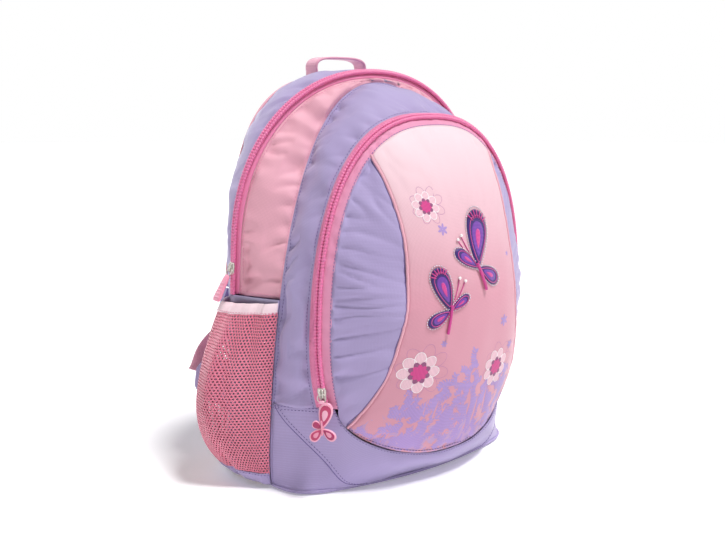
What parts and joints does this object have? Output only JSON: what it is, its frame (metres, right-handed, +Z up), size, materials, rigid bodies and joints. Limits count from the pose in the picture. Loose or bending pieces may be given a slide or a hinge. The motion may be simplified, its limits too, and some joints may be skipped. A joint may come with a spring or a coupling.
{
  "type": "school backpack",
  "caption": "Child's arched school backpack with a domed zipped front pocket, mesh side pockets, padded back, shoulder straps and a grab handle.",
  "frame": {"origin": "on the floor, under the middle of the base", "axes": "+Z up, the front pocket faces -Y, the wearer's back is at +Y, +X is to the right of someone who looks at the front"},
  "size_m": [0.406, 0.267, 0.419],
  "materials": {
    "lavender_fabric": "woven polyester, light sheen",
    "pink_fabric": "satin woven polyester",
    "printed_fabric": "satin woven polyester with a floral print",
    "lining": "coated lining",
    "mesh": "open knitted mesh",
    "elastic": "elastic binding",
    "zip_tape": "woven tape",
    "zip_coil": "nylon coil",
    "webbing": "ribbed webbing",
    "air_mesh": "padded air mesh",
    "foam": "soft foam",
    "board": "stiffener",
    "lock_plastic": "moulded",
    "slider_metal": "nickel plated",
    "puller_rubber": "soft moulded rubber",
    "applique": "glossy embroidered patch"
  },
  "bodies": {
    "root": {"base_panel": "lavender_fabric", "front_yoke": "lavender_fabric", "rear_gusset": "lavender_fabric", "lower_side_panel_left": "lavender_fabric", "lower_side_panel_right": "lavender_fabric", "front_band_lower": "lavender_fabric", "front_band_fold": "lavender_fabric", "pocket_panel_left_lower": "lavender_fabric", "pocket_panel_right_lower": "lavender_fabric", "strap_tab_left": "lavender_fabric", "strap_tab_right": "lavender_fabric", "strap_anchor": "lavender_fabric", "pocket_panel_center_lower": "printed_fabric", "pocket_panel_fold": "printed_fabric", "divider_lower": "lining", "back_panel": "lining", "side_pocket_left": "mesh", "side_pocket_right": "mesh", "side_pocket_binding_left": "elastic", "side_pocket_binding_right": "elastic", "main_zip_tape_rear": "zip_tape", "pocket_zip_tape_outer_lower": "zip_tape", "pocket_zip_tape_inner_lower": "zip_tape", "pocket_zip_fold": "zip_tape", "main_zip_coil_rear": "zip_coil", "pocket_zip_coil_lower": "zip_coil", "strap_webbing_left": "webbing", "strap_webbing_right": "webbing", "handle_anchor": "webbing", "back_pad_left": "air_mesh", "back_pad_right": "air_mesh", "lumbar_pad": "air_mesh", "back_foam": "foam", "base_board": "board", "butterfly_small": "applique"},
    "front_flap": {"main_zip_coil_front": "zip_coil", "main_zip_tape_front": "zip_tape", "front_gusset": "pink_fabric", "front_band_upper": "lavender_fabric", "pocket_zip_tape_outer_upper": "zip_tape", "pocket_zip_coil_upper": "zip_coil", "pocket_zip_tape_inner_upper": "zip_tape", "pocket_panel_left_upper": "lavender_fabric", "pocket_panel_center_upper": "printed_fabric", "pocket_panel_right_upper": "lavender_fabric", "divider_upper": "lining", "butterfly_large": "applique"},
    "handle": {"grab_handle": "webbing"},
    "strap_left": {"shoulder_strap_left": "lavender_fabric", "ladder_lock_left": "lock_plastic"},
    "strap_right": {"shoulder_strap_right": "lavender_fabric", "ladder_lock_right": "lock_plastic"},
    "main_slider": {"main_slider": "slider_metal"},
    "main_puller": {"main_puller_ring": "slider_metal", "main_puller": "puller_rubber"},
    "pocket_slider": {"pocket_slider": "slider_metal"},
    "pocket_puller": {"pocket_puller_ring": "slider_metal", "pocket_puller": "puller_rubber"}
  },
  "joints": [
    {"name": "flap_fold", "type": "hinge", "parent": "root", "child": "front_flap", "pos_m": [0, -0.035, 0.2], "axis": [1, 0, 0], "range_deg": [0, 25], "deforming": ["front_band_fold", "pocket_zip_fold", "pocket_panel_fold", "butterfly_small", "butterfly_large"]},
    {"name": "handle_fold", "type": "hinge", "parent": "root", "child": "handle", "pos_m": [0, 0.066, 0.407], "axis": [1, 0, 0], "range_deg": [-35, 12], "stiffness_Nm_per_rad": 0.02},
    {"name": "strap_swing_left", "type": "hinge", "parent": "root", "child": "strap_left", "pos_m": [-0.044, 0.0744, 0.372], "axis": [1, 0, 0], "range_deg": [0, 22]},
    {"name": "strap_swing_right", "type": "hinge", "parent": "root", "child": "strap_right", "pos_m": [0.044, 0.0744, 0.372], "axis": [1, 0, 0], "range_deg": [0, 22]},
    {"name": "main_zip_slide", "type": "slide", "parent": "root", "child": "main_slider", "axis": [-0.0042, -0.0935, 0.9956], "range_m": [0, 0.06]},
    {"name": "main_puller_swing", "type": "hinge", "parent": "main_slider", "child": "main_puller", "pos_m": [-0.16156, 0.02246, 0.21289], "axis": [0, 1, 0], "range_deg": [0, 95]},
    {"name": "pocket_zip_slide", "type": "slide", "parent": "root", "child": "pocket_slider", "axis": [-0.1582, -0.0178, 0.9872], "range_m": [0, 0.028]},
    {"name": "pocket_puller_swing", "type": "hinge", "parent": "pocket_slider", "child": "pocket_puller", "pos_m": [-0.1281, -0.07947, 0.1044], "axis": [-0.6313, 0.7755, 0], "range_deg": [0, 130]}
  ]
}
